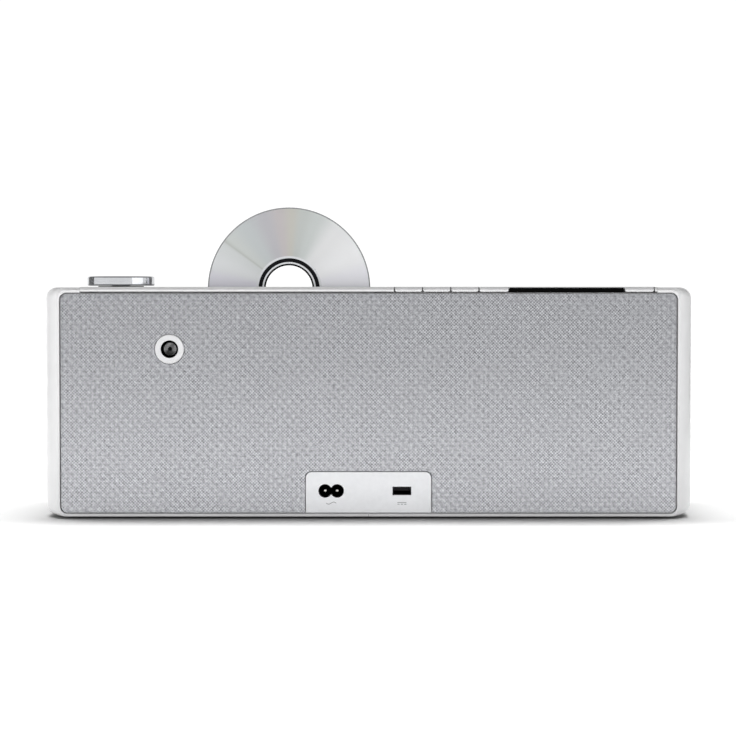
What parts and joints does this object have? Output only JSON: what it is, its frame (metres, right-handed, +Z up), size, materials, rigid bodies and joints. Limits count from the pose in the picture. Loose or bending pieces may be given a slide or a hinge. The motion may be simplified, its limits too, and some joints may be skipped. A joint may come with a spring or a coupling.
{
  "type": "tabletop audio unit with an upright disc slot",
  "caption": "Tabletop disc and radio unit: wide casing with rounded sides, cloth front and back, upright disc slot, push-turn knob, keys and display on top, sockets behind.",
  "frame": {"origin": "on the surface it stands on, under the middle of the casing", "axes": "+X to the right when its back is seen, +Y towards the front cloth, +Z up"},
  "size_m": [0.4654, 0.15, 0.224],
  "materials": {
    "casing_lacquer": "satin lacquer",
    "plate_white": "satin",
    "key_white": "satin",
    "socket_white": "satin",
    "ring_white": "gloss",
    "pad_rubber": "matt",
    "surround_rubber": "matt",
    "roller_rubber": "matt",
    "sheet_steel": "zinc plated",
    "bright_steel": "ground",
    "motor_steel": "drawn",
    "dark_plastic": "matt",
    "guide_plastic": "matt",
    "panel_board": "matt",
    "felt": "felt",
    "display_black_glass": "polished black",
    "lcd_dark": "gloss",
    "knob_chrome": "polished",
    "knob_spun": "spun",
    "disc_silver": "metallised",
    "speaker_cloth": "fine weave",
    "contact_metal": "nickel plated",
    "antenna_metal": "nickel plated",
    "pulley_brass": "turned",
    "basket_metal": "satin",
    "magnet_ferrite": "matt",
    "cone_paper": "matt",
    "circuit_green": "solder mask",
    "switch_black": "matt",
    "cable_white": "matt"
  },
  "bodies": {
    "housing": {"casing": "casing_lacquer", "pads": "pad_rubber", "seam_plate": "sheet_steel", "top_plate": "plate_white", "slot_lip": "guide_plastic", "dust_felts": "felt", "control_board": "circuit_green", "key_switches": "switch_black", "display_bezel": "dark_plastic", "display_glass": "display_black_glass", "lcd_panel": "lcd_dark", "knob_collar": "guide_plastic", "encoder_body": "sheet_steel", "drive_frame": "sheet_steel", "drive_dampers": "pad_rubber", "clamp_plate": "sheet_steel", "disc_guide": "guide_plastic", "drive_belt": "roller_rubber", "loading_motor": "motor_steel", "rear_panel": "panel_board", "rear_cloth": "speaker_cloth", "socket_plate": "socket_white", "mains_inlet": "dark_plastic", "mains_pins": "contact_metal", "usb_shell": "contact_metal", "usb_tongue": "dark_plastic", "antenna_ring": "ring_white", "antenna_socket": "antenna_metal", "front_baffle": "panel_board", "front_cloth": "speaker_cloth", "speaker_baskets": "basket_metal", "speaker_magnets": "magnet_ferrite", "speaker_surrounds": "surround_rubber", "speaker_screws": "bright_steel", "power_board": "circuit_green", "main_board": "circuit_green", "ribbon_cable": "cable_white"},
    "key_1": {"key_1": "key_white"},
    "key_2": {"key_2": "key_white"},
    "key_3": {"key_3": "key_white"},
    "key_4": {"key_4": "key_white"},
    "end_key": {"end_key": "key_white"},
    "knob_shaft": {"encoder_shaft": "bright_steel"},
    "knob": {"knob_ring": "knob_chrome", "knob_face": "knob_spun"},
    "disc": {"disc": "disc_silver"},
    "feed_roller": {"roller_shaft": "bright_steel", "roller_rubber": "roller_rubber"},
    "motor_pulley": {"motor_pulley": "pulley_brass"},
    "traverse": {"traverse_plate": "sheet_steel", "spindle_motor": "motor_steel", "guide_rods": "bright_steel", "sled_motor": "motor_steel"},
    "turntable": {"turntable": "guide_plastic"},
    "clamper": {"clamper": "guide_plastic"},
    "pickup": {"pickup_sled": "guide_plastic"},
    "lead_screw": {"lead_screw": "bright_steel"},
    "left_cone": {"left_cone": "cone_paper"},
    "right_cone": {"right_cone": "cone_paper"}
  },
  "joints": [
    {"name": "key_1_press", "type": "slide", "parent": "housing", "child": "key_1", "axis": [0, 0, -1], "range_m": [0, 0.0006], "stiffness_N_per_m": 800, "springref_m": -0.0005},
    {"name": "key_2_press", "type": "slide", "parent": "housing", "child": "key_2", "axis": [0, 0, -1], "range_m": [0, 0.0006], "stiffness_N_per_m": 800, "springref_m": -0.0005},
    {"name": "key_3_press", "type": "slide", "parent": "housing", "child": "key_3", "axis": [0, 0, -1], "range_m": [0, 0.0006], "stiffness_N_per_m": 800, "springref_m": -0.0005},
    {"name": "key_4_press", "type": "slide", "parent": "housing", "child": "key_4", "axis": [0, 0, -1], "range_m": [0, 0.0006], "stiffness_N_per_m": 800, "springref_m": -0.0005},
    {"name": "end_key_press", "type": "slide", "parent": "housing", "child": "end_key", "axis": [0, 0, -1], "range_m": [0, 0.0006], "stiffness_N_per_m": 800, "springref_m": -0.0005},
    {"name": "knob_press", "type": "slide", "parent": "housing", "child": "knob_shaft", "axis": [0, 0, -1], "range_m": [0, 0.0005], "stiffness_N_per_m": 4000, "springref_m": -0.0006},
    {"name": "knob_turn", "type": "hinge", "parent": "knob_shaft", "child": "knob", "pos_m": [-0.1815, -0.025, 0.165], "axis": [0, 0, -1], "continuous": true},
    {"name": "disc_load", "type": "slide", "parent": "housing", "child": "disc", "axis": [0, 0, -1], "range_m": [-0.062, 0.073]},
    {"name": "roller_spin", "type": "hinge", "parent": "housing", "child": "feed_roller", "pos_m": [-0.0587, -0.00815, 0.1535], "axis": [1, 0, 0], "continuous": true},
    {"name": "motor_pulley_spin", "type": "hinge", "parent": "housing", "child": "motor_pulley", "pos_m": [0.0109, -0.00815, 0.1195], "axis": [1, 0, 0], "continuous": true},
    {"name": "traverse_lift", "type": "slide", "parent": "housing", "child": "traverse", "axis": [0, 1, 0], "range_m": [0, 0.0032]},
    {"name": "turntable_spin", "type": "hinge", "parent": "traverse", "child": "turntable", "pos_m": [-0.0587, -0.013, 0.091], "axis": [0, -1, 0], "continuous": true},
    {"name": "clamper_spin", "type": "hinge", "parent": "housing", "child": "clamper", "pos_m": [-0.0587, -0.013, 0.091], "axis": [0, -1, 0], "continuous": true},
    {"name": "pickup_slide", "type": "slide", "parent": "traverse", "child": "pickup", "axis": [-1, 0, 0], "range_m": [0, 0.0335]},
    {"name": "lead_screw_spin", "type": "hinge", "parent": "traverse", "child": "lead_screw", "pos_m": [-0.0587, -0.0232, 0.067], "axis": [1, 0, 0], "continuous": true},
    {"name": "left_cone_travel", "type": "slide", "parent": "housing", "child": "left_cone", "axis": [0, 1, 0], "range_m": [-0.0015, 0.0015], "stiffness_N_per_m": 1200},
    {"name": "right_cone_travel", "type": "slide", "parent": "housing", "child": "right_cone", "axis": [0, 1, 0], "range_m": [-0.0015, 0.0015], "stiffness_N_per_m": 1200}
  ],
  "couplings": [
    {"joint": "roller_spin", "follows": "disc_load", "rad_per_m": 250},
    {"joint": "motor_pulley_spin", "follows": "disc_load", "rad_per_m": 600},
    {"joint": "clamper_spin", "follows": "turntable_spin", "ratio": 1},
    {"joint": "lead_screw_spin", "follows": "pickup_slide", "rad_per_m": 2094.4}
  ]
}
